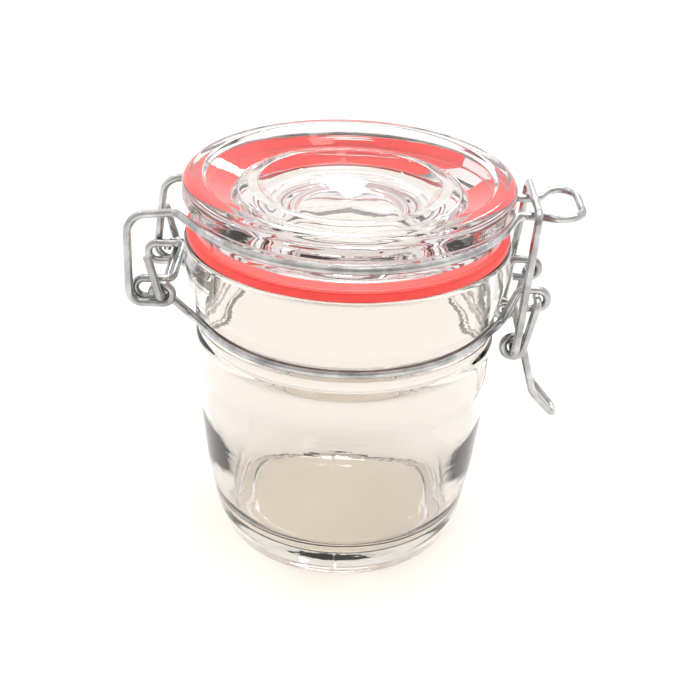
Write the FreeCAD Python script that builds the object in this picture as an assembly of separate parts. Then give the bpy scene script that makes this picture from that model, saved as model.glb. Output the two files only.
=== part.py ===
"""Small clip-top glass jar, closed: glass jar and lid, rubber ring, and the bent-wire clasp and hinge.

Millimetres. Origin at the centre of the base, +Z up, clasp towards +X, hinge towards -X.
"""
import FreeCAD, Part
import math
import os
from FreeCAD import Vector

os.makedirs("parts", exist_ok=True)

# ---- driving dimensions: glass jar ------------------------------------------------------------
JAR_HEIGHT = 67.2        # base to sealing rim
BODY_R = 31.2            # widest part of the body
BODY_Z = 36.0            # height from which the body is that wide
BODY_WALL = 3.0
TAPER_R = 29.0           # middle of the body's lower, tapering half
TAPER_Z = 16.0
HEEL_R = 27.0            # heel over the foot
HEEL_Z = 5.0
FOOT_R = 23.4            # bearing ring under the base
FOOT_W = 1.6             # half width of the bearing ring
PUNT = 1.3               # hollow under the base
FLOOR = 4.6              # thickness of the base
FLOOR_DIP = 0.5
SHOULDER_Z = 45.8        # top of the body
STEP_R = 29.9            # channel between the shoulder and the bead
STEP_Z = 46.9
BEAD_R = 31.2            # bead that keeps the neck wire from sliding down
BEAD_Z = 47.6
NECK_WIRE_Z = 51.5
WAIST_R = 31.5           # foot of the collar, just over the neck wire
LEDGE_Z = 54.5           # parting ledge round the foot of the collar
LEDGE = 0.25
COLLAR_R = 33.2          # smooth collar that carries the lid
COLLAR_Z = 60.5
COLLAR_WALL = 6.2

# ---- driving dimensions: lid and rubber ring --------------------------------------------------
RING_T = 1.9             # rubber ring
RING_R = 33.0
RING_BORE = 26.0
RING_GAP = 0.1           # ring over rim, unpressed
LID_R = 33.5
LID_SKIRT_R = 32.6       # lid just under its wire groove
LID_SEAT_R = 31.3        # outer edge of the face on the rubber ring
LID_T = 10.8             # seat to crest
LID_WIRE_UP = 4.6        # seat to the middle of the wire groove
LID_RIM_W = 4.0          # width of the raised outer rim
LID_STEP = 0.9           # top band under the two crests
LID_RING_R = 19.5        # crest round the dished centre
LID_RING_W = 0.9         # half width of that crest
LID_PAN_R = 15.6         # floor of the dished centre
LID_PAN = 5.4            # depth of the dished centre
LID_DIP = 0.5            # dishing of that floor, top and underside
PLUG_R = 24.0            # part of the lid that sits inside the mouth
PLUG = 4.1
PLUG_HOLLOW_R = 13.0
PLUG_HOLLOW = 4.6

# ---- driving dimensions: pressed-glass rounds -------------------------------------------------
EDGE = 0.4
SOFT = 0.8
FULL = 2.0
DEEP = 6.0
SWEEP = 40.0

# ---- driving dimensions: wires ----------------------------------------------------------------
WIRE_D = 1.7
WIRE_PLAY = 0.1          # wire to the glass groove it lies in
LOOSE = 0.3              # wire to wire, where one turns in the other
CLEAR_WAIST = 2.0        # wires that pass the collar stand this far outside it
EYE_IN = 2.4             # inside height of the neck wire's long eyes
EYE_RISE = 5.3           # neck groove to the middle of its eyes
FRONT_EYE_X = 38.6       # end curl of the front eyes, where the lever turns
FRONT_EYE_Y = 7.2
NECK_EXIT = 1.8          # how far the neck wire stands out of its ring before it turns up
REAR_EYE_X = 40.3        # end curl of the rear eyes
REAR_EYE_Y = 8.5
PIN_X = 36.6             # hinge pin behind the jar
PIN_TAIL = 9.2           # upturned cut ends of the hinge pin
PIN_LEAN = 2.4
LID_ARM_Y = 9.5          # lid wire where it leaves the lid at the back
LID_EYE_Y = 10.7         # lid wire at the hinge pin
LID_ARM_X = 43.2
NOSE_Y = 4.7             # half width of the nose's waist
NOSE_BULB = 8.9          # half width of its rounded end
NOSE_X = 48.6
NOSE_LIFT = 1.2
BAR_X = 37.0             # crossbar of the bail, over the nose
BAR_Y = 9.5
BAR_OVER = 0.6           # play between crossbar and nose
LEVER_Y = 5.1            # lever arms, inside the front eyes
COIL_X = 34.5            # where the bail turns in the lever
COIL_Z = 46.4
TIP_X = 45.6
TIP_Z = 26.6
TIP_Y = 1.9
ELBOW_X = 40.4           # where the handle turns outwards
ELBOW_Z = 32.4

# ---- sizes that follow ------------------------------------------------------------------------
WIRE_R = WIRE_D / 2
RING_Z = JAR_HEIGHT + RING_GAP
SEAT_Z = RING_Z + RING_T
LID_WIRE_Z = SEAT_Z + LID_WIRE_UP
LID_TOP = SEAT_Z + LID_T
GROOVE_R = WIRE_R + WIRE_PLAY
LID_WIRE_R = LID_SKIRT_R - 0.5 * WIRE_R
NECK_WIRE_R = WAIST_R - 0.7 * WIRE_R
EYE_Z = NECK_WIRE_Z + EYE_RISE
EYE_R = EYE_IN / 2 + WIRE_R
LOW_Z = EYE_Z - EYE_R
HIGH_Z = EYE_Z + EYE_R
PIN_Z = LOW_Z + WIRE_D + WIRE_PLAY
HOOK_R = WIRE_D + LOOSE
BAR_Z = LID_WIRE_Z + WIRE_D + BAR_OVER
MOUTH_R = COLLAR_R - COLLAR_WALL
CAVITY_R = BODY_R - BODY_WALL
JOINED = 1e-4            # points nearer than this are one point


# ---- helpers ----------------------------------------------------------------------------------
def line(a, b):
    return Part.LineSegment(a, b).toShape()


def arc(a, through, b):
    return Part.Arc(a, through, b).toShape()


def rz(radius, height):
    """A point of a turned outline."""
    return Vector(radius, 0, height)


def turned(edges):
    """Solid of revolution about the jar's axis from a closed chain of edges in the XZ plane."""
    face = Part.Face(Part.Wire(edges))
    return face.revolve(Vector(0, 0, 0), Vector(0, 0, 1), 360)


def rounded(corners):
    """Closed outline through (radius, height, round) corners, each corner rounded (0: sharp)."""
    points = [rz(radius, height) for radius, height, bend in corners]
    count = len(points)
    starts = []
    ends = []
    middles = []
    for index, point in enumerate(points):
        bend = corners[index][2]
        if bend == 0:
            starts.append(point)
            ends.append(point)
            middles.append(None)
            continue
        before = (points[index - 1] - point).normalize()
        after = (points[(index + 1) % count] - point).normalize()
        half = before.getAngle(after) / 2
        reach = bend / math.tan(half)
        inward = (before + after).normalize()
        starts.append(point + before * reach)
        ends.append(point + after * reach)
        middles.append(point + inward * (bend / math.sin(half) - bend))
    edges = []
    for index in range(count):
        if middles[index] is not None:
            edges.append(arc(starts[index], middles[index], ends[index]))
        following = starts[(index + 1) % count]
        if ends[index].distanceToPoint(following) > JOINED:
            edges.append(line(ends[index], following))
    return edges


def bent_wire(route, radius=WIRE_R):
    """Round wire along straight runs joined by tangent bends. route: list of (point, bend radius)."""
    edges = []
    at = route[0][0]
    last = len(route) - 1
    for index in range(1, last):
        point, bend = route[index]
        back = (route[index - 1][0] - point).normalize()
        ahead = (route[index + 1][0] - point).normalize()
        half = back.getAngle(ahead) / 2
        reach = bend / math.tan(half)
        start = point + back * reach
        end = point + ahead * reach
        middle = (back + ahead).normalize()
        through = point + middle * (bend / math.sin(half) - bend)
        if at.distanceToPoint(start) > JOINED:
            edges.append(line(at, start))
        else:
            start = at
        edges.append(arc(start, through, end))
        at = end
    if at.distanceToPoint(route[last][0]) > JOINED:
        edges.append(line(at, route[last][0]))
    heading = (route[1][0] - route[0][0]).normalize()
    section = Part.Wire(Part.makeCircle(radius, route[0][0], heading))
    return Part.Wire(edges).makePipeShell([section], True, False)


def around(centre, mean_r, first, last, bends, place):
    """Corners of a many-sided loop whose bends make a true arc of mean_r, from first to last degrees."""
    step = math.radians(last - first) / bends
    out = mean_r / math.cos(step / 2)
    route = []
    for index in range(bends):
        angle = math.radians(first) + step * (index + 0.5)
        u = centre[0] + out * math.cos(angle)
        v = centre[1] + out * math.sin(angle)
        route.append((place(u, v, (index + 0.5) / bends), mean_r))
    return route


def mirrored(route):
    """The same route on the far side, in reverse order."""
    return [(Vector(p.x, -p.y, p.z), bend) for p, bend in reversed(route)]


def save(shape, node):
    solid = shape.Solids[0] if len(shape.Solids) == 1 else shape
    print(f"{node:12s} valid {solid.isValid()} solids {len(shape.Solids)} cm3 {solid.Volume / 1000:.3f}")
    solid.exportStep(f"parts/{node}.step")


# ---- glass and rubber -------------------------------------------------------------------------
def jar():
    groove_low = NECK_WIRE_Z - WIRE_D
    groove_high = NECK_WIRE_Z + WIRE_D
    outside = [
        (0, PUNT, 0),
        (FOOT_R - 2 * FOOT_W, PUNT, SOFT),
        (FOOT_R - FOOT_W, 0, SOFT),
        (FOOT_R + FOOT_W, 0, SOFT),
        (HEEL_R, HEEL_Z, DEEP),
        (TAPER_R, TAPER_Z, SWEEP),
        (BODY_R, BODY_Z, SWEEP),
        (BODY_R, SHOULDER_Z, FULL),
        (STEP_R, STEP_Z, EDGE),
        (BEAD_R - EDGE, BEAD_Z, EDGE),
        (BEAD_R, groove_low, SOFT),
        (BEAD_R - SOFT, groove_low + SOFT, 0),
        (BEAD_R - SOFT, groove_high - SOFT, 0),
        (WAIST_R, groove_high, EDGE),
        (WAIST_R + LEDGE, LEDGE_Z, EDGE / 4),
        (WAIST_R + 2 * LEDGE, LEDGE_Z, EDGE / 4),
        (COLLAR_R, COLLAR_Z, SWEEP / 2),
        (COLLAR_R, JAR_HEIGHT, SOFT),
    ]
    inside = [
        (MOUTH_R, JAR_HEIGHT, SOFT),
        (MOUTH_R, BEAD_Z, SWEEP / 2),
        (CAVITY_R, BODY_Z + FULL, SWEEP / 2),
        (CAVITY_R, BODY_Z - DEEP, SWEEP),
        (HEEL_R - BODY_WALL, FLOOR, DEEP),
        (0, FLOOR - FLOOR_DIP, 0),
    ]
    blank = turned(rounded(outside + inside))
    groove = Part.makeTorus(NECK_WIRE_R, GROOVE_R, Vector(0, 0, NECK_WIRE_Z))
    return blank.cut(groove)


def lid():
    step_z = LID_TOP - LID_STEP
    pan_z = LID_TOP - LID_PAN
    plug_z = SEAT_Z - PLUG
    outline = [
        (0, plug_z + PLUG_HOLLOW + LID_DIP, 0),
        (PLUG_HOLLOW_R - FULL, plug_z + PLUG_HOLLOW, FULL),
        (PLUG_HOLLOW_R + FULL, plug_z, FULL),
        (PLUG_R, plug_z, FULL),
        (RING_BORE - LOOSE, SEAT_Z, EDGE),
        (LID_SEAT_R, SEAT_Z, SOFT),
        (LID_SKIRT_R, LID_WIRE_Z - WIRE_D, FULL),
        (LID_SKIRT_R, LID_WIRE_Z + WIRE_R, EDGE),
        (LID_R, LID_WIRE_Z + WIRE_D, SOFT),
        (LID_R, LID_TOP, FULL),
        (LID_R - LID_RIM_W, LID_TOP, SOFT),
        (LID_R - LID_RIM_W - SOFT, step_z, SOFT),
        (LID_RING_R + LID_RING_W + FULL, step_z, SOFT),
        (LID_RING_R + LID_RING_W, LID_TOP, SOFT),
        (LID_RING_R - LID_RING_W, LID_TOP, SOFT),
        (LID_PAN_R, pan_z, FULL),
        (0, pan_z - LID_DIP, 0),
    ]
    blank = turned(rounded(outline))
    groove = Part.makeTorus(LID_WIRE_R, GROOVE_R, Vector(0, 0, LID_WIRE_Z))
    return blank.cut(groove)


def gasket():
    outline = [
        (RING_BORE, RING_Z, EDGE),
        (RING_R, RING_Z, EDGE),
        (RING_R, SEAT_Z, EDGE),
        (RING_BORE, SEAT_Z, EDGE),
    ]
    return turned(rounded(outline))


# ---- wires ------------------------------------------------------------------------------------
def ring_run(radius, height, first, last, bends):
    """Wire bent round the glass, between two bearings in degrees."""
    def place(x, y, share):
        return Vector(x, y, height)
    return around((0, 0), radius, first, last, bends, place)


def bearing(across, radius):
    """Angle from the clasp line at which a ring of this radius is this far across."""
    return math.degrees(math.asin(across / radius))


def lid_wire():
    hook_z = PIN_Z
    turn = 2.6

    def hook(x, z, share):
        return Vector(x, -LID_EYE_Y, z)
    near = [(Vector(-PIN_X - HOOK_R, -LID_EYE_Y, hook_z), 0)]
    near += around((-PIN_X, hook_z), HOOK_R, 180, -90, 6, hook)
    near += [
        (Vector(-LID_ARM_X, -LID_EYE_Y, hook_z - HOOK_R), turn),
        (Vector(-LID_ARM_X - 0.2, -LID_ARM_Y, LID_WIRE_Z - 1.3), 3.4),
        (Vector(-LID_WIRE_R - 1.2, -LID_ARM_Y, LID_WIRE_Z), 2.4),
    ]
    rear = 180 + bearing(LID_ARM_Y, LID_WIRE_R) + 8
    front = 360 - bearing(NOSE_Y, LID_WIRE_R) - 8
    near += ring_run(LID_WIRE_R, LID_WIRE_Z, rear, front, 8)
    near += [
        (Vector(LID_WIRE_R + 1.0, -NOSE_Y, LID_WIRE_Z), 2.2),
        (Vector(BAR_X + WIRE_D, -NOSE_Y, LID_WIRE_Z), 3.0),
        (Vector(NOSE_X - 5.6, -NOSE_BULB - 0.4, LID_WIRE_Z + NOSE_LIFT), 4.5),
        (Vector(NOSE_X, -NOSE_BULB * 0.58, LID_WIRE_Z + NOSE_LIFT), 5.3),
    ]
    return bent_wire(near + mirrored(near))


def leaving(across, side):
    """Corner outside the groove where the neck wire turns up, and the bearing where it left the ring."""
    radius = NECK_WIRE_R + NECK_EXIT
    corner = Vector(side * math.sqrt(radius ** 2 - across ** 2), -across, NECK_WIRE_Z)
    left_at = math.asin(across / radius) + math.acos(NECK_WIRE_R / radius)
    return corner, math.degrees(left_at)


def neck_wire():
    turn = 2.0
    front_corner, front = leaving(FRONT_EYE_Y + LOOSE, 1)
    rear_corner, rear = leaving(REAR_EYE_Y + LOOSE, -1)

    def front_eye(x, z, share):
        return Vector(x, -FRONT_EYE_Y, z)

    def rear_eye(x, z, share):
        return Vector(-x, -REAR_EYE_Y, z)
    near = [(Vector(COLLAR_R + 2.2, -FRONT_EYE_Y, LOW_Z), 0)]
    near += around((FRONT_EYE_X, EYE_Z), EYE_R, -90, 90, 4, front_eye)
    near += [
        (Vector(COLLAR_R + 1.7, -FRONT_EYE_Y, HIGH_Z), turn),
        (front_corner, turn),
    ]
    near += ring_run(NECK_WIRE_R, NECK_WIRE_Z, -front, rear - 180, 8)
    near += [
        (rear_corner, turn),
        (Vector(-COLLAR_R - 2.0, -REAR_EYE_Y, LOW_Z), turn),
    ]
    near += around((REAR_EYE_X, EYE_Z), EYE_R, -90, 90, 4, rear_eye)
    near += [(Vector(-COLLAR_R - 1.6, -REAR_EYE_Y, HIGH_Z), 1.8)]
    return bent_wire(near + mirrored(near))


def hinge_pin():
    bend = 1.3
    reach = LID_EYE_Y + WIRE_R + WIRE_PLAY + bend
    near = [
        (Vector(-PIN_X - PIN_LEAN, -reach, PIN_Z + PIN_TAIL), 0),
        (Vector(-PIN_X, -reach, PIN_Z), bend),
    ]
    return bent_wire(near + mirrored(near))


def bail():
    near = [
        (Vector(COIL_X, -LEVER_Y + WIRE_D, COIL_Z), 0),
        (Vector(COIL_X, -BAR_Y, COIL_Z), 1.6),
        (Vector(BAR_X, -BAR_Y, BAR_Z), 2.2),
    ]
    return bent_wire(near + mirrored(near))


def lever():
    coil_r = WIRE_D + LOOSE + 0.2
    pin_end = FRONT_EYE_Y + WIRE_R + LOOSE
    down = math.degrees(math.atan2(COIL_Z - EYE_Z, COIL_X - FRONT_EYE_X))
    pitch = WIRE_D + WIRE_PLAY

    def coil(x, z, share):
        return Vector(x, -LEVER_Y - pitch * share, z)
    near = [
        (Vector(FRONT_EYE_X, -pin_end, EYE_Z), 0),
        (Vector(FRONT_EYE_X, -LEVER_Y, EYE_Z), 1.5),
    ]
    near += around((COIL_X, COIL_Z), coil_r, down + 90, down - 270, 8, coil)
    near += [
        (Vector(ELBOW_X, -TIP_Y - 0.8, ELBOW_Z), 6.0),
        (Vector(TIP_X, -TIP_Y, TIP_Z), 1.7),
    ]
    return bent_wire(near + mirrored(near))


PARTS = {
    "jar": jar,
    "lid": lid,
    "gasket": gasket,
    "lid_wire": lid_wire,
    "neck_wire": neck_wire,
    "hinge_pin": hinge_pin,
    "bail": bail,
    "lever": lever,
}

for node, build in PARTS.items():
    save(build(), node)
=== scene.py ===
"""Looks of the clip-top glass jar: pressed glass, rubber ring and galvanised wires on a pale floor."""
import math

import bpy
from mathutils import Matrix, Vector


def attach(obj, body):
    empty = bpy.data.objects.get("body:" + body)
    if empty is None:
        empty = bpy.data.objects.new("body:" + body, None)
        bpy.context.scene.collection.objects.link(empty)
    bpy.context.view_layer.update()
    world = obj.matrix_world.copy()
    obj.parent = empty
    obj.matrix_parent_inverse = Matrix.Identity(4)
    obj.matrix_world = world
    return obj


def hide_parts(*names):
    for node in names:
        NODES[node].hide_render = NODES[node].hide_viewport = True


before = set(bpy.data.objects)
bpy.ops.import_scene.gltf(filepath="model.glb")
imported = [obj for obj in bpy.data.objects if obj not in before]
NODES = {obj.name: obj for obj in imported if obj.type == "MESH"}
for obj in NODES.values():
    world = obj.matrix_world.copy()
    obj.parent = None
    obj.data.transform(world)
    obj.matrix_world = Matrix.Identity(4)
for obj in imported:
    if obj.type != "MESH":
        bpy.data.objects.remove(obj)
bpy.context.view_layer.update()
MM = 0.001

# ---- sizes of the turned pieces and wires, in millimetres --------------------------------------
JAR_HEIGHT = 67.2
BODY_R = 31.2
BODY_Z = 36.0
BODY_WALL = 3.0
TAPER_R = 29.0
TAPER_Z = 16.0
HEEL_R = 27.0
HEEL_Z = 5.0
FOOT_R = 23.4
FOOT_W = 1.6
PUNT = 1.3
FLOOR = 4.6
FLOOR_DIP = 0.5
INNER_HEEL = 7.0          # round of the cavity where the walls run into the thick base
SHOULDER_Z = 45.8
STEP_R = 29.9
STEP_Z = 46.9
BEAD_R = 31.2
BEAD_Z = 47.6
NECK_WIRE_Z = 51.5
WAIST_R = 31.5
LEDGE_Z = 54.5
LEDGE = 0.25
COLLAR_R = 33.2
COLLAR_Z = 60.5
COLLAR_WALL = 6.2
RING_T = 1.9
RING_R = 33.0
RING_BORE = 26.0
RING_SET_IN = 0.2
RING_GAP = 0.1
RING_CONTACT = 0.03       # the ring's top reaches this far into the lid's glass, so no air shows
RING_EDGE = 0.3
RING_BULGE = 0.1
LID_R = 33.44
LID_SKIRT_R = 31.75        # straight wall from the rubber ring up to the flange
LID_T = 10.8
LID_WIRE_UP = 4.6
LID_RIM_W = 4.0
LID_STEP = 0.9
LID_CREST_DROP = 2.3      # inner crest under the outer rim
LID_RING_R = 19.5
LID_RING_W = 0.9
LID_PAN_R = 15.6
LID_PAN = 5.4
LID_DIP = 0.5
PLUG_R = 24.0
PLUG = 4.1
PLUG_HOLLOW_R = 13.0
PLUG_HOLLOW = 4.6
PLUG_PLAY = 0.3           # between the plug's root and the ring's bore
EDGE = 0.4
SOFT = 0.8
FULL = 2.0
BOWL = 4.5
DEEP = 6.0
SWEEP = 40.0
WIRE_D = 1.7
WIRE_R = WIRE_D / 2
WIRE_PLAY = 0.1
LOOSE = 0.3
EYE_IN = 2.4
EYE_RISE = 5.3
FRONT_EYE_X = 38.6
FRONT_EYE_Y = 7.2
PIN_X = 36.6
LID_ARM_Y = 9.5
LID_EYE_Y = 10.7
LID_ARM_X = 43.2
ARM_LOW_BEND = 2.6
ARM_HIGH_BEND = 4.0
ARM_HIGH_DROP = 1.0
ARM_ROOT = 1.2            # end of the arm, out from the ring round the lid
ARM_ROOT_BEND = 2.4
RING_LEAD = 8             # degrees left free for the bends at each end of the ring round the lid
NOSE_Y = 4.7
NOSE_BULB = 8.9
NOSE_X = 46.3
NOSE_LIFT = 1.2
NOSE_ROOT = 1.0           # start of the nose, out from the ring round the lid
NOSE_ROOT_BEND = 2.2
NOSE_NECK_BEND = 3.0
NOSE_SHOULDER = 4.2       # widest place of the nose, back from its tip
NOSE_SHOULDER_WIDEN = 0.2
NOSE_SHOULDER_BEND = 3.6
NOSE_TIP_SHARE = 0.62     # half width of the tip as a share of the bulb's
NOSE_TIP_BEND = 4.6
BAR_X = 37.0
BAR_Y = 9.5
BAR_OVER = 0.6
BAR_BEND = 2.2
PIN_BEND = 1.5            # bend where a wire turns into an eye or a coil
LEVER_Y = 9.2
LEG_Y = 12.2
COIL_X = 34.5
COIL_Z = 46.4
TIP_X = 45.6
TIP_Z = 26.6
TIP_Y = 1.9
ELBOW_X = 40.4
ELBOW_Z = 32.4
ELBOW_SPREAD = 0.8
ELBOW_BEND = 6.0
TIP_BEND = 1.7
RING_Z = JAR_HEIGHT + RING_GAP
SEAT_Z = RING_Z + RING_T
LID_WIRE_Z = SEAT_Z + LID_WIRE_UP
LID_TOP = SEAT_Z + LID_T
LID_WIRE_R = LID_SKIRT_R + WIRE_R
EYE_Z = NECK_WIRE_Z + EYE_RISE
PIN_Z = EYE_Z - EYE_IN / 2 - WIRE_R + WIRE_D + WIRE_PLAY
HOOK_R = WIRE_D + LOOSE
BAR_Z = LID_WIRE_Z + WIRE_D + BAR_OVER
COIL_PITCH = WIRE_D + WIRE_PLAY
NECK_WIRE_R = WAIST_R - 0.7 * WIRE_R
MOUTH_R = COLLAR_R - COLLAR_WALL
CAVITY_R = BODY_R - BODY_WALL
GROOVE_R = WIRE_R + WIRE_PLAY


# ---- node trees --------------------------------------------------------------------------------
def linear(code):
    """sRGB hex such as #D8D2C8 to linear RGBA."""
    parts = [int(code[i:i + 2], 16) / 255 for i in (1, 3, 5)]
    return tuple(p / 12.92 if p <= 0.04045 else ((p + 0.055) / 1.055) ** 2.4 for p in parts) + (1.0,)


def add(tree, kind, links=None, **settings):
    """Adds a node. links: {socket name or number: value or another node's output}."""
    node = tree.nodes.new(kind)
    for name, value in settings.items():
        setattr(node, name, value)
    for key, value in (links or {}).items():
        socket = node.inputs[key]
        if isinstance(value, bpy.types.NodeSocket):
            tree.links.new(value, socket)
        else:
            socket.default_value = value
    return node


def ramp(tree, factor, stops):
    """Colour ramp through (position, sRGB hex) stops."""
    node = add(tree, "ShaderNodeValToRGB", {0: factor})
    elements = node.color_ramp.elements
    while len(elements) < len(stops):
        elements.new(0.5)
    for element, (position, code) in zip(elements, stops):
        element.position = position
        element.color = linear(code)
    return node.outputs[0]


def new_material(name):
    material = bpy.data.materials.new(name)
    material.use_nodes = True
    tree = material.node_tree
    tree.nodes.clear()
    output = add(tree, "ShaderNodeOutputMaterial")
    where = add(tree, "ShaderNodeTexCoord").outputs["Object"]
    return material, tree, output, where


# ---- materials ---------------------------------------------------------------------------------
def soda_lime_glass(name, surface, ripple, tint, strength, streak):
    # Soda-lime glass, pressed and blown in an iron mould: clear, a trace of warm grey in the thick parts,
    # fire-polished surface with the faint chill waves that the mould leaves.
    material, tree, output, where = new_material(name)
    waves = add(tree, "ShaderNodeMapping", {"Vector": where, "Scale": (70, 70, 34)})
    chill = add(tree, "ShaderNodeTexNoise", {"Vector": waves.outputs[0], "Scale": 1.0, "Detail": 1.5})
    peel = add(tree, "ShaderNodeTexNoise", {"Vector": where, "Scale": 900.0, "Detail": 1.0})
    both = add(tree, "ShaderNodeMath", {0: peel.outputs[0], 1: 0.05, 2: chill.outputs[0]},
               operation="MULTIPLY_ADD")
    lines = add(tree, "ShaderNodeMapping", {"Vector": where, "Scale": (24, 24, 620)})
    press = add(tree, "ShaderNodeTexNoise", {"Vector": lines.outputs[0], "Scale": 1.0, "Detail": 2.0})
    broad = add(tree, "ShaderNodeBump", {"Height": both.outputs[0], "Distance": ripple, "Strength": 1.0})
    bump = add(tree, "ShaderNodeBump", {"Height": press.outputs[0], "Distance": streak, "Strength": 1.0,
                                        "Normal": broad.outputs[0]})
    glass = add(tree, "ShaderNodeBsdfPrincipled", {
        "Base Color": linear(surface), "Roughness": 0.012, "IOR": 1.52, "Transmission Weight": 1.0,
        "Normal": bump.outputs[0]})
    # lamps shine through the clear walls instead of casting a solid shadow
    lamp = add(tree, "ShaderNodeLightPath").outputs["Is Shadow Ray"]
    open_way = add(tree, "ShaderNodeBsdfTransparent", {"Color": linear("#F7F4EF")})
    both_ways = add(tree, "ShaderNodeMixShader", {0: lamp, 1: glass.outputs[0], 2: open_way.outputs[0]})
    depth = add(tree, "ShaderNodeVolumeAbsorption", {"Color": linear(tint), "Density": strength})
    tree.links.new(both_ways.outputs[0], output.inputs["Surface"])
    tree.links.new(depth.outputs[0], output.inputs["Volume"])
    return material


def red_rubber():
    # Moulded natural rubber, coral red, satin: fine talc bloom that lightens it a little.
    material, tree, output, where = new_material("moulded natural rubber")
    bloom = add(tree, "ShaderNodeTexNoise", {"Vector": where, "Scale": 260.0, "Detail": 4.0})
    colour = ramp(tree, bloom.outputs[0], [(0.3, "#F03A35"), (0.6, "#F8433D"), (0.8, "#FB544D")])
    grain = add(tree, "ShaderNodeTexNoise", {"Vector": where, "Scale": 2600.0, "Detail": 2.0})
    bump = add(tree, "ShaderNodeBump", {"Height": grain.outputs[0], "Distance": 0.00003, "Strength": 0.6})
    gloss = add(tree, "ShaderNodeMapRange", {"Value": bloom.outputs[0], "To Min": 0.38, "To Max": 0.55})
    rubber = add(tree, "ShaderNodeBsdfPrincipled", {
        "Base Color": colour, "Roughness": gloss.outputs[0], "IOR": 1.52, "Subsurface Weight": 0.15,
        "Subsurface Radius": (1.0, 0.3, 0.2), "Subsurface Scale": 0.0008, "Normal": bump.outputs[0]})
    tree.links.new(rubber.outputs[0], output.inputs["Surface"])
    return material


def galvanised_wire():
    # Drawn spring steel with bright zinc: a cool grey metal, duller and darker in cloudy patches,
    # finely pitted.
    material, tree, output, where = new_material("galvanised spring wire")
    cloud = add(tree, "ShaderNodeTexNoise",
                {"Vector": where, "Scale": 190.0, "Detail": 5.0, "Roughness": 0.6})
    pits = add(tree, "ShaderNodeTexNoise", {"Vector": where, "Scale": 2400.0, "Detail": 2.0})
    colour = ramp(tree, cloud.outputs[0], [(0.30, "#86888A"), (0.48, "#AEAFB0"), (0.70, "#D2D2D2")])
    gloss = add(tree, "ShaderNodeMapRange", {"Value": cloud.outputs[0], "To Min": 0.30, "To Max": 0.12})
    bump = add(tree, "ShaderNodeBump", {"Height": pits.outputs[0], "Distance": 0.00004, "Strength": 0.5})
    zinc = add(tree, "ShaderNodeBsdfPrincipled", {
        "Base Color": colour, "Metallic": 1.0, "Roughness": gloss.outputs[0], "Normal": bump.outputs[0]})
    tree.links.new(zinc.outputs[0], output.inputs["Surface"])
    return material


# ---- turned pieces -----------------------------------------------------------------------------
def rounded(corners, arc_step=0.12, run_step=1.1):
    """Points of the outline through (radius, height, round) corners, each corner rounded."""
    count = len(corners)
    spots = [Vector(corner[:2]) for corner in corners]
    points = []
    for index, spot in enumerate(spots):
        bend = corners[index][2]
        if bend == 0:
            points.append(spot)
            continue
        before = (spots[index - 1] - spot).normalized()
        after = (spots[(index + 1) % count] - spot).normalized()
        half = before.angle(after) / 2
        reach = bend / math.tan(half)
        centre = spot + (before + after).normalized() * (bend / math.sin(half))
        start = spot + before * reach - centre
        turn = math.pi - 2 * half
        if start.cross(spot + after * reach - centre) < 0:
            turn = -turn
        steps = max(2, math.ceil(abs(turn) / arc_step), math.ceil(abs(turn) * bend / run_step))
        for step in range(steps + 1):
            angle = turn * step / steps
            swing = Matrix.Rotation(angle, 2)
            points.append(centre + swing @ start)
    filled = []
    for here, following in zip(points, points[1:]):
        filled.append(here)
        cuts = math.ceil((following - here).length / run_step)
        filled += [here.lerp(following, cut / cuts) for cut in range(1, cuts)]
    filled.append(points[-1])
    return [p for k, p in enumerate(filled) if k == 0 or (p - filled[k - 1]).length > 1e-4]


def grooved(points, radius, height):
    """Lays the round wire groove into an outline: points inside the wire's circle move onto it."""
    out = []
    for p in points:
        away = p - Vector((radius, height))
        out.append(Vector((radius, height)) + away.normalized() * GROOVE_R if away.length < GROOVE_R else p)
    return out


def profile_object(name, points, outside_count):
    """The outline as a chain of edges; attribute outside is 1 on the outer skin and 0 on the inner."""
    mesh = bpy.data.meshes.new(name)
    edges = [(k, k + 1) for k in range(len(points) - 1)]
    mesh.from_pydata([(p.x * MM, 0, p.y * MM) for p in points], edges, [])
    side = mesh.attributes.new("outside", "FLOAT", "POINT")
    side.data.foreach_set("value", [1.0 if k < outside_count else 0.0 for k in range(len(points))])
    made = bpy.data.objects.new(name, mesh)
    bpy.context.scene.collection.objects.link(made)
    return made


def new_tree(name, inputs):
    """An empty Geometry Nodes tree with these named inputs."""
    tree = bpy.data.node_groups.new(name, "GeometryNodeTree")
    face = tree.interface
    face.new_socket("Geometry", in_out="INPUT", socket_type="NodeSocketGeometry")
    face.new_socket("Geometry", in_out="OUTPUT", socket_type="NodeSocketGeometry")
    for label, kind, value in inputs:
        socket = face.new_socket(label, in_out="INPUT", socket_type=kind)
        if value is not None:
            socket.default_value = value
    return tree, add(tree, "NodeGroupInput").outputs


MOULD_INPUTS = [
    ("Columns", "NodeSocketInt", 320),
    ("Crowding", "NodeSocketFloat", 0.0),
    ("Seam height", "NodeSocketFloat", 0.0),
    ("Seam width", "NodeSocketFloat", 0.00016),
    ("Seam foot", "NodeSocketFloat", 0.003),
    ("Seam break", "NodeSocketFloat", 0.0464),
    ("Seam slant", "NodeSocketFloat", 0.036),
    ("Wave height outside", "NodeSocketFloat", 0.0),
    ("Wave height inside", "NodeSocketFloat", 0.0),
    ("Seed", "NodeSocketFloat", 3.0),
    ("Material", "NodeSocketMaterial", None),
]


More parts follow.
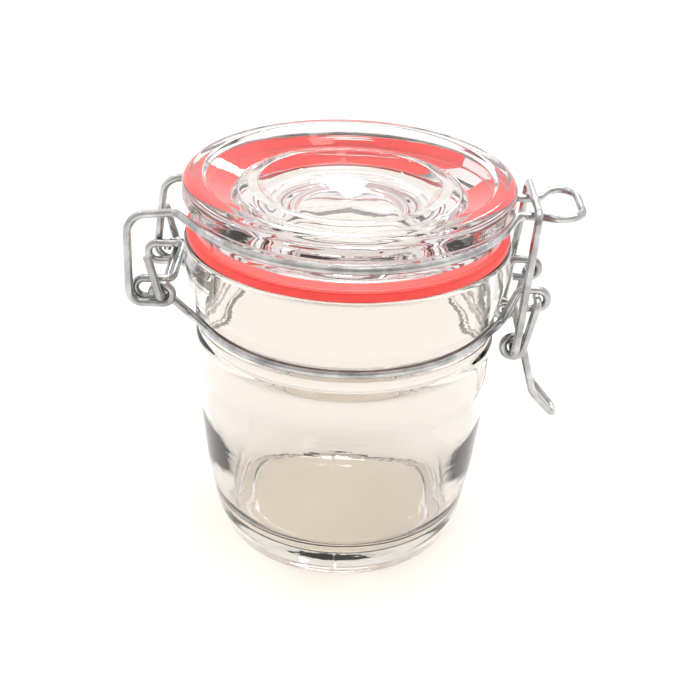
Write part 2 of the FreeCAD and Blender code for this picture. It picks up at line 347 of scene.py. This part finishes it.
def turning_tree():
    """Turns an outline about the Z axis. Columns crowd towards the mould seams at -Y and +Y."""
    tree, given = new_tree("turned in the mould", MOULD_INPUTS)
    outline = given["Geometry"]

    def math_node(operation, *values):
        return add(tree, "ShaderNodeMath", dict(enumerate(values)), operation=operation).outputs[0]

    rows = add(tree, "GeometryNodeAttributeDomainSize", {0: outline}, component="MESH").outputs["Point Count"]
    across = math_node("ADD", given["Columns"], 1.0)
    grid = add(tree, "GeometryNodeMeshGrid", {"Vertices X": rows, "Vertices Y": across}).outputs["Mesh"]
    number = add(tree, "GeometryNodeInputIndex").outputs[0]
    row = math_node("FLOOR", math_node("DIVIDE", math_node("ADD", number, 0.5), across))
    column = math_node("SUBTRACT", number, math_node("MULTIPLY", row, across))
    even = math_node("MULTIPLY", math_node("DIVIDE", column, given["Columns"]), math.tau)
    pull = math_node("MULTIPLY", math_node("SINE", math_node("MULTIPLY", even, 2.0)), given["Crowding"])
    angle = math_node("ADD", even, math_node("MULTIPLY", pull, 0.5))
    place = add(tree, "GeometryNodeInputPosition").outputs[0]
    spot = add(tree, "GeometryNodeSampleIndex", {"Geometry": outline, "Value": place, "Index": row},
               data_type="FLOAT_VECTOR")
    flat = add(tree, "ShaderNodeSeparateXYZ", {0: spot.outputs["Value"]}).outputs
    x = math_node("MULTIPLY", flat[0], math_node("COSINE", angle))
    y = math_node("MULTIPLY", flat[0], math_node("SINE", angle))
    target = add(tree, "ShaderNodeCombineXYZ", {0: x, 1: y, 2: flat[2]}).outputs[0]
    side = add(tree, "GeometryNodeInputNamedAttribute", {"Name": "outside"}, data_type="FLOAT").outputs[0]
    skin = add(tree, "GeometryNodeSampleIndex", {"Geometry": outline, "Value": side, "Index": row},
               data_type="FLOAT")
    kept = add(tree, "GeometryNodeStoreNamedAttribute",
               {"Geometry": grid, "Name": "outside", "Value": skin.outputs["Value"]},
               data_type="FLOAT", domain="POINT")
    body = add(tree, "GeometryNodeSetPosition", {"Geometry": kept.outputs[0], "Position": target})
    merged = add(tree, "GeometryNodeMergeByDistance", {"Geometry": body.outputs[0], "Distance": 1e-6})
    closed = add(tree, "GeometryNodeFlipFaces", {"Mesh": merged.outputs[0]})

    at = add(tree, "ShaderNodeSeparateXYZ", {0: place}).outputs
    out = add(tree, "GeometryNodeInputNormal").outputs[0]
    below = math_node("LESS_THAN", at[2], given["Seam break"])
    slope = math_node("MULTIPLY", math_node("MULTIPLY", at[2], given["Seam slant"]), below)
    off = math_node("DIVIDE", math_node("ADD", at[0], slope), given["Seam width"])
    ridge = math_node("EXPONENT", math_node("MULTIPLY", math_node("MULTIPLY", off, off), -1.0))
    # the mould halves part on the wall; the base plate under them has no seam across it
    walls = math_node("GREATER_THAN", at[2], given["Seam foot"])
    seam = math_node("MULTIPLY", math_node("MULTIPLY", ridge, given["Seam height"]),
                     math_node("MULTIPLY", side, walls))
    stretched = add(tree, "ShaderNodeVectorMath", {0: place, 1: (1.0, 1.0, 0.45)}, operation="MULTIPLY")
    noise = add(tree, "ShaderNodeTexNoise",
                {"Vector": stretched.outputs[0], "W": given["Seed"], "Scale": 30.0, "Detail": 0.0},
                noise_dimensions="4D")
    swell = math_node("SUBTRACT", noise.outputs[0], 0.5)
    outer = math_node("MULTIPLY", given["Wave height outside"], side)
    inner = math_node("MULTIPLY", given["Wave height inside"], math_node("SUBTRACT", 1.0, side))
    wave = math_node("MULTIPLY", swell, math_node("ADD", outer, inner))
    push = add(tree, "ShaderNodeVectorMath", {0: out, "Scale": math_node("ADD", seam, wave)},
               operation="SCALE")
    marked = add(tree, "GeometryNodeSetPosition", {"Geometry": closed.outputs[0], "Offset": push.outputs[0]})
    # nothing swells past the flat foot or the top
    ends = add(tree, "GeometryNodeBoundBox", {0: outline}).outputs
    lowest = add(tree, "ShaderNodeSeparateXYZ", {0: ends["Min"]}).outputs[2]
    highest = add(tree, "ShaderNodeSeparateXYZ", {0: ends["Max"]}).outputs[2]
    moved = add(tree, "ShaderNodeSeparateXYZ", {0: place}).outputs
    held = math_node("MAXIMUM", math_node("MINIMUM", moved[2], highest), lowest)
    inside_ends = add(tree, "ShaderNodeCombineXYZ", {0: moved[0], 1: moved[1], 2: held}).outputs[0]
    kept_in = add(tree, "GeometryNodeSetPosition", {"Geometry": marked.outputs[0], "Position": inside_ends})
    real = add(tree, "GeometryNodeRealizeInstances", {0: kept_in.outputs[0]})
    smooth = add(tree, "GeometryNodeSetShadeSmooth", {0: real.outputs[0], "Shade Smooth": True})
    finished = add(tree, "GeometryNodeSetMaterial", {0: smooth.outputs[0], "Material": given["Material"]})
    add(tree, "NodeGroupOutput", {0: finished.outputs[0]})
    return tree


def baked(made, tree, sizes):
    """Runs a tree on an object and keeps the result as its plain mesh."""
    modifier = made.modifiers.new(tree.name, "NODES")
    modifier.node_group = tree
    for item in tree.interface.items_tree:
        if item.in_out == "INPUT" and item.name in sizes:
            modifier[item.identifier] = sizes[item.name]
    graph = bpy.context.evaluated_depsgraph_get()
    mesh = bpy.data.meshes.new_from_object(made.evaluated_get(graph))
    made.modifiers.remove(modifier)
    if mesh.materials[0] is None:
        mesh.materials.pop(index=0)
    made.data = mesh
    return made


WIRE_INPUTS = [
    ("Wire radius", "NodeSocketFloat", 0.00085),
    ("Sides", "NodeSocketInt", 20),
    ("Steps in a bend", "NodeSocketInt", 14),
    ("Unevenness", "NodeSocketFloat", 0.00012),
    ("Seed", "NodeSocketFloat", 1.0),
    ("Material", "NodeSocketMaterial", None),
]


def wire_tree():
    """Bends round wire along a route of straight runs. Each corner's bend radius is its attribute bend."""
    tree, given = new_tree("bent wire", WIRE_INPUTS)
    route = add(tree, "GeometryNodeMeshToCurve", {0: given["Geometry"]}).outputs[0]
    radius = add(tree, "GeometryNodeInputNamedAttribute", {"Name": "bend"}, data_type="FLOAT").outputs[0]
    bent = add(tree, "GeometryNodeFilletCurve", {"Curve": route, "Count": given["Steps in a bend"],
                                                 "Radius": radius, "Limit Radius": True}, mode="POLY")
    place = add(tree, "GeometryNodeInputPosition").outputs[0]
    noise = add(tree, "ShaderNodeTexNoise",
                {"Vector": place, "W": given["Seed"], "Scale": 45.0, "Detail": 0.0},
                noise_dimensions="4D")
    sway = add(tree, "ShaderNodeVectorMath", {0: noise.outputs["Color"], 1: (0.5, 0.5, 0.5)},
               operation="SUBTRACT")
    push = add(tree, "ShaderNodeVectorMath", {0: sway.outputs[0], "Scale": given["Unevenness"]},
               operation="SCALE")
    by_hand = add(tree, "GeometryNodeSetPosition", {"Geometry": bent.outputs[0], "Offset": push.outputs[0]})
    section = add(tree, "GeometryNodeCurvePrimitiveCircle",
                  {"Resolution": given["Sides"], "Radius": given["Wire radius"]}, mode="RADIUS")
    tube = add(tree, "GeometryNodeCurveToMesh",
               {"Curve": by_hand.outputs[0], "Profile Curve": section.outputs[0], "Fill Caps": True})
    real = add(tree, "GeometryNodeRealizeInstances", {0: tube.outputs[0]})
    fold = add(tree, "GeometryNodeInputMeshEdgeAngle").outputs[0]
    cut = add(tree, "ShaderNodeMath", {0: fold, 1: 0.9}, operation="GREATER_THAN").outputs[0]
    round_side = add(tree, "GeometryNodeSetShadeSmooth", {0: real.outputs[0], "Shade Smooth": True})
    crisp_end = add(tree, "GeometryNodeSetShadeSmooth", {0: round_side.outputs[0], "Selection": cut,
                                                         "Shade Smooth": False}, domain="EDGE")
    finished = add(tree, "GeometryNodeSetMaterial", {0: crisp_end.outputs[0], "Material": given["Material"]})
    add(tree, "NodeGroupOutput", {0: finished.outputs[0]})
    return tree


def route_object(name, route):
    """A wire's route, (point in mm, bend radius in mm), as a chain of edges with the attribute bend."""
    mesh = bpy.data.meshes.new(name)
    edges = [(k, k + 1) for k in range(len(route) - 1)]
    mesh.from_pydata([Vector(p) * MM for p, bend in route], edges, [])
    bends = mesh.attributes.new("bend", "FLOAT", "POINT")
    bends.data.foreach_set("value", [bend * MM for p, bend in route])
    made = bpy.data.objects.new(name, mesh)
    bpy.context.scene.collection.objects.link(made)
    return made


def around(centre, mean_r, first, last, bends, place):
    """Corners of a many-sided loop whose bends make a true arc of mean_r, from first to last degrees."""
    step = math.radians(last - first) / bends
    out = mean_r / math.cos(step / 2)
    route = []
    for index in range(bends):
        angle = math.radians(first) + step * (index + 0.5)
        u = centre[0] + out * math.cos(angle)
        v = centre[1] + out * math.sin(angle)
        route.append((place(u, v, (index + 0.5) / bends), mean_r))
    return route


def mirrored(route):
    """The same route on the far side, in reverse order."""
    return [((x, -y, z), bend) for (x, y, z), bend in reversed(route)]


def hinge_side(arm_low, arm_high):
    """Lid wire from its hook round the hinge pin up the big C to the lid, on the near side."""
    def hook(x, z, share):
        return (x, -LID_EYE_Y, z)
    side = [((-PIN_X - HOOK_R, -LID_EYE_Y, PIN_Z), 0)]
    side += around((-PIN_X, PIN_Z), HOOK_R, 180, -90, 6, hook)
    side += [
        ((-arm_low, -LID_EYE_Y, PIN_Z - HOOK_R), ARM_LOW_BEND),
        ((-arm_high, -LID_ARM_Y, LID_WIRE_Z - ARM_HIGH_DROP), ARM_HIGH_BEND),
        ((-LID_WIRE_R - ARM_ROOT, -LID_ARM_Y, LID_WIRE_Z), ARM_ROOT_BEND),
    ]
    return side


def lid_wire_route():
    def level(x, y, share):
        return (x, y, LID_WIRE_Z)
    rear = 180 + math.degrees(math.asin(LID_ARM_Y / LID_WIRE_R)) + RING_LEAD
    front = 360 - math.degrees(math.asin(NOSE_Y / LID_WIRE_R)) - RING_LEAD
    ring = around((0, 0), LID_WIRE_R, rear, front, 8, level)
    nose = [
        ((LID_WIRE_R + NOSE_ROOT, -NOSE_Y, LID_WIRE_Z), NOSE_ROOT_BEND),
        ((BAR_X + WIRE_D, -NOSE_Y, LID_WIRE_Z), NOSE_NECK_BEND),
        ((NOSE_X - NOSE_SHOULDER, -NOSE_BULB - NOSE_SHOULDER_WIDEN, LID_WIRE_Z + NOSE_LIFT),
         NOSE_SHOULDER_BEND),
        ((NOSE_X, -NOSE_BULB * NOSE_TIP_SHARE, LID_WIRE_Z + NOSE_LIFT), NOSE_TIP_BEND),
    ]
    near = hinge_side(LID_ARM_X, LID_ARM_X + 0.2) + ring + nose
    far = hinge_side(LID_ARM_X - 2.2, LID_ARM_X - 4.6) + ring + nose
    return near + mirrored(far)


def bail_route():
    near = [
        ((COIL_X, -LEVER_Y + COIL_PITCH + WIRE_D, COIL_Z), 0),
        ((COIL_X, -LEG_Y, COIL_Z), PIN_BEND),
        ((BAR_X, -BAR_Y, BAR_Z), BAR_BEND),
    ]
    return near + mirrored(near)


def lever_route():
    coil_r = WIRE_D + LOOSE
    pin_end = FRONT_EYE_Y - WIRE_R - LOOSE
    arm = Vector((FRONT_EYE_X - COIL_X, EYE_Z - COIL_Z))
    handle = Vector((ELBOW_X - COIL_X, ELBOW_Z - COIL_Z))
    arm_at = math.degrees(math.atan2(arm.y, arm.x) - math.acos(coil_r / arm.length))
    handle_at = math.degrees(math.atan2(handle.y, handle.x) + math.acos(coil_r / handle.length))

    def coil(x, z, share):
        return (x, -LEVER_Y + COIL_PITCH * share, z)
    near = [((FRONT_EYE_X, -pin_end, EYE_Z), 0), ((FRONT_EYE_X, -LEVER_Y, EYE_Z), PIN_BEND)]
    near += around((COIL_X, COIL_Z), coil_r, arm_at, handle_at - 360, 8, coil)
    near += [
        ((ELBOW_X, -TIP_Y - ELBOW_SPREAD, ELBOW_Z), ELBOW_BEND),
        ((TIP_X, -TIP_Y, TIP_Z), TIP_BEND),
    ]
    return near + mirrored(near)


def jar_outline():
    low = NECK_WIRE_Z - WIRE_D
    high = NECK_WIRE_Z + WIRE_D
    outside = [
        (0, PUNT, 0), (FOOT_R - 2 * FOOT_W, PUNT, SOFT), (FOOT_R - FOOT_W, 0, SOFT),
        (FOOT_R + FOOT_W, 0, SOFT), (HEEL_R, HEEL_Z, DEEP), (TAPER_R, TAPER_Z, SWEEP),
        (BODY_R, BODY_Z, SWEEP), (BODY_R, SHOULDER_Z, FULL), (STEP_R, STEP_Z, EDGE),
        (BEAD_R - EDGE, BEAD_Z, EDGE), (BEAD_R, low, SOFT), (BEAD_R - SOFT, low + SOFT, 0),
        (BEAD_R - SOFT, high - SOFT, 0), (WAIST_R, high, EDGE), (WAIST_R + LEDGE, LEDGE_Z, EDGE / 4),
        (WAIST_R + 2 * LEDGE, LEDGE_Z, EDGE / 4), (COLLAR_R, COLLAR_Z, SWEEP / 2),
        (COLLAR_R, JAR_HEIGHT, SOFT),
    ]
    inside = [
        (MOUTH_R, JAR_HEIGHT, SOFT), (MOUTH_R, BEAD_Z, SWEEP / 2), (CAVITY_R, BODY_Z + FULL, SWEEP / 2),
        (CAVITY_R, BODY_Z - DEEP, SWEEP), (HEEL_R - BODY_WALL, FLOOR, INNER_HEEL), (0, FLOOR - FLOOR_DIP, 0),
    ]
    points = grooved(rounded(outside + inside), NECK_WIRE_R, NECK_WIRE_Z)
    middle = Vector((MOUTH_R + COLLAR_WALL / 2, JAR_HEIGHT))
    rim = min(range(len(points)), key=lambda k: (points[k] - middle).length)
    return points, rim + 1


def lid_outline():
    step = LID_TOP - LID_STEP
    crest = LID_TOP - LID_CREST_DROP
    pan = LID_TOP - LID_PAN
    plug = SEAT_Z - PLUG
    corners = [
        (0, plug + PLUG_HOLLOW + LID_DIP, 0), (PLUG_HOLLOW_R - FULL, plug + PLUG_HOLLOW, BOWL),
        (PLUG_HOLLOW_R + FULL, plug, BOWL), (PLUG_R, plug, FULL), (RING_BORE - PLUG_PLAY, SEAT_Z, EDGE),
        (LID_SKIRT_R, SEAT_Z, EDGE), (LID_SKIRT_R, LID_WIRE_Z + WIRE_R + WIRE_PLAY, EDGE),
        (LID_R, LID_WIRE_Z + WIRE_D + WIRE_PLAY, SOFT), (LID_R, LID_TOP, FULL),
        (LID_R - LID_RIM_W, LID_TOP, SOFT), (LID_R - LID_RIM_W - SOFT, step, SOFT),
        (LID_RING_R + LID_RING_W + FULL, crest - LID_STEP, SOFT), (LID_RING_R + LID_RING_W, crest, SOFT),
        (LID_RING_R - LID_RING_W, crest, SOFT), (LID_PAN_R, pan, BOWL), (0, pan - LID_DIP, 0),
    ]
    points = rounded(corners)
    return points, len(points)


def ring_outline():
    """Square-cut ring pressed into contact with the lid, with the faint bulge of its outer face."""
    low = RING_Z
    high = SEAT_Z + RING_CONTACT
    middle = (low + high) / 2
    edge = RING_R - RING_SET_IN
    corners = [
        (RING_BORE, low, RING_EDGE), (edge - RING_BULGE, low, RING_EDGE), (edge, middle, SWEEP / 8),
        (edge - RING_BULGE, high, RING_EDGE), (RING_BORE, high, RING_EDGE),
    ]
    points = rounded(corners, arc_step=0.2, run_step=0.8)
    return points + [points[0]], len(points) + 1


CLEAR = soda_lime_glass("soda-lime glass, blown", "#ECE9E5", 0.00012, "#DCD8D2", 14.0, 0.00002)
PRESSED = soda_lime_glass("soda-lime glass, pressed", "#EEECEB", 0.0001, "#DCD6D7", 12.0, 0.00005)
RUBBER = red_rubber()
ZINC = galvanised_wire()
TURNED = turning_tree()
BENT = wire_tree()

outline, skin = jar_outline()
jar = baked(profile_object("glass_jar", outline, skin), TURNED, {
    "Columns": 288, "Crowding": 0.85, "Seam height": 0.00011, "Wave height outside": 0.0001,
    "Wave height inside": 0.0003, "Seed": 3.0, "Material": CLEAR})
outline, skin = lid_outline()
lid = baked(profile_object("glass_lid", outline, skin), TURNED, {
    "Columns": 300, "Wave height outside": 0.0001, "Seed": 8.0, "Material": PRESSED})
outline, skin = ring_outline()
ring = baked(profile_object("rubber_ring", outline, skin), TURNED, {
    "Columns": 240, "Wave height outside": 0.00008, "Seed": 5.0, "Material": RUBBER})

for piece, node, body, slot in (
    (jar, "jar", "jar_body", "clear_glass"),
    (lid, "lid", "lid_body", "lid_glass"),
    (ring, "gasket", "lid_body", "red_rubber"),
):
    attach(piece, body)
    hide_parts(node)

for name, route, node, body, seed in (
    ("lid_bail_wire", lid_wire_route(), "lid_wire", "lid_body", 1.0),
    ("clasp_bail", bail_route(), "bail", "bail_body", 4.0),
    ("clasp_lever", lever_route(), "lever", "lever_body", 7.0),
):
    wire = baked(route_object(name, route), BENT, {
        "Wire radius": WIRE_R * MM, "Seed": seed, "Material": ZINC})
    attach(wire, body)
    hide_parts(node)

for node in ("neck_wire", "hinge_pin"):
    for place in NODES[node].material_slots:
        place.material = ZINC

# ---- stage, light and camera -------------------------------------------------------------------
floor_mesh = bpy.data.meshes.new("studio_floor")
floor_mesh.from_pydata([(-4, -4, 0), (4, -4, 0), (4, 4, 0), (-4, 4, 0)], [], [(0, 1, 2, 3)])
floor = bpy.data.objects.new("studio_floor", floor_mesh)
floor.location.z = -0.0001
bpy.context.scene.collection.objects.link(floor)
paper, tree, output, where = new_material("pale studio paper")
paper_shader = add(tree, "ShaderNodeBsdfPrincipled", {"Base Color": linear("#FBFBFB"), "Roughness": 0.9})
tree.links.new(paper_shader.outputs[0], output.inputs["Surface"])
floor_mesh.materials.append(paper)

world = bpy.data.worlds.new("studio")
bpy.context.scene.world = world
world.use_nodes = True
tree = world.node_tree
tree.nodes.clear()
heading = add(tree, "ShaderNodeTexCoord").outputs["Generated"]
parts = add(tree, "ShaderNodeSeparateXYZ", {0: heading}).outputs
# the room is bright behind and above, dimmer on the camera's side
lift = add(tree, "ShaderNodeMapRange", {"Value": parts[1], "From Min": -0.9, "From Max": 0.5,
                                        "To Min": 0.0, "To Max": 1.0}, interpolation_type="SMOOTHSTEP")
tone = ramp(tree, lift.outputs[0], [(0.0, "#C6C0B7"), (0.5, "#EAE7E3"), (1.0, "#FFFFFF")])
sky = add(tree, "ShaderNodeBackground", {"Color": tone, "Strength": 1.25})
add(tree, "ShaderNodeOutputWorld", {0: sky.outputs[0]})


def softbox(name, place, aim, wide, high, power):
    light = bpy.data.lights.new(name, "AREA")
    light.shape = "RECTANGLE"
    light.size = wide
    light.size_y = high
    light.energy = power
    light.color = linear("#FFFDFB")[:3]
    made = bpy.data.objects.new(name, light)
    made.location = place
    made.rotation_euler = (Vector(aim) - Vector(place)).to_track_quat("-Z", "Y").to_euler()
    bpy.context.scene.collection.objects.link(made)
    return made


softbox("overhead softbox", (0.1, 0.1, 0.9), (0, 0, 0.04), 0.6, 0.6, 3.0)
softbox("left lamp", (-0.45, 0.25, 0.75), (0, 0, 0.06), 0.06, 0.04, 0.3)
softbox("right lamp", (0.4, 0.3, 0.8), (0, 0, 0.06), 0.06, 0.04, 0.3)
softbox("window behind", (-0.03, 1.1, 0.62), (0, 0, 0.01), 0.12, 0.06, 0.6)
softbox("second window behind", (0.22, 1.1, 0.66), (0, 0, 0.01), 0.06, 0.12, 0.5)

SENSOR = 36.0
LENS_RATIO = 1.811        # focal length over sensor width
CAMERA_SHIFT = -1 / 7
CAMERA_DOWN = 24.83
CAMERA_YAW = -0.13
CAMERA_ROLL = 2.27
CAMERA_PLACE = (-0.00003, -0.2358, 0.1719)
camera = bpy.data.cameras.new("camera")
# a short telephoto view, looking down from a little above the lid
camera.sensor_width = SENSOR
camera.lens = SENSOR * LENS_RATIO
camera.shift_y = CAMERA_SHIFT
camera.dof.use_dof = False
eye = bpy.data.objects.new("camera", camera)
turn = Matrix.Rotation(math.radians(CAMERA_YAW), 4, "Z")
pitch = Matrix.Rotation(math.radians(90 - CAMERA_DOWN), 4, "X")
roll = Matrix.Rotation(math.radians(CAMERA_ROLL), 4, "Z")
eye.matrix_world = Matrix.Translation(CAMERA_PLACE) @ turn @ pitch @ roll
camera.clip_start = 0.01
bpy.context.scene.collection.objects.link(eye)
bpy.context.scene.camera = eye
bpy.context.scene.view_settings.view_transform = "Standard"
bpy.context.scene.cycles.max_bounces = 24
bpy.context.scene.cycles.transmission_bounces = 24
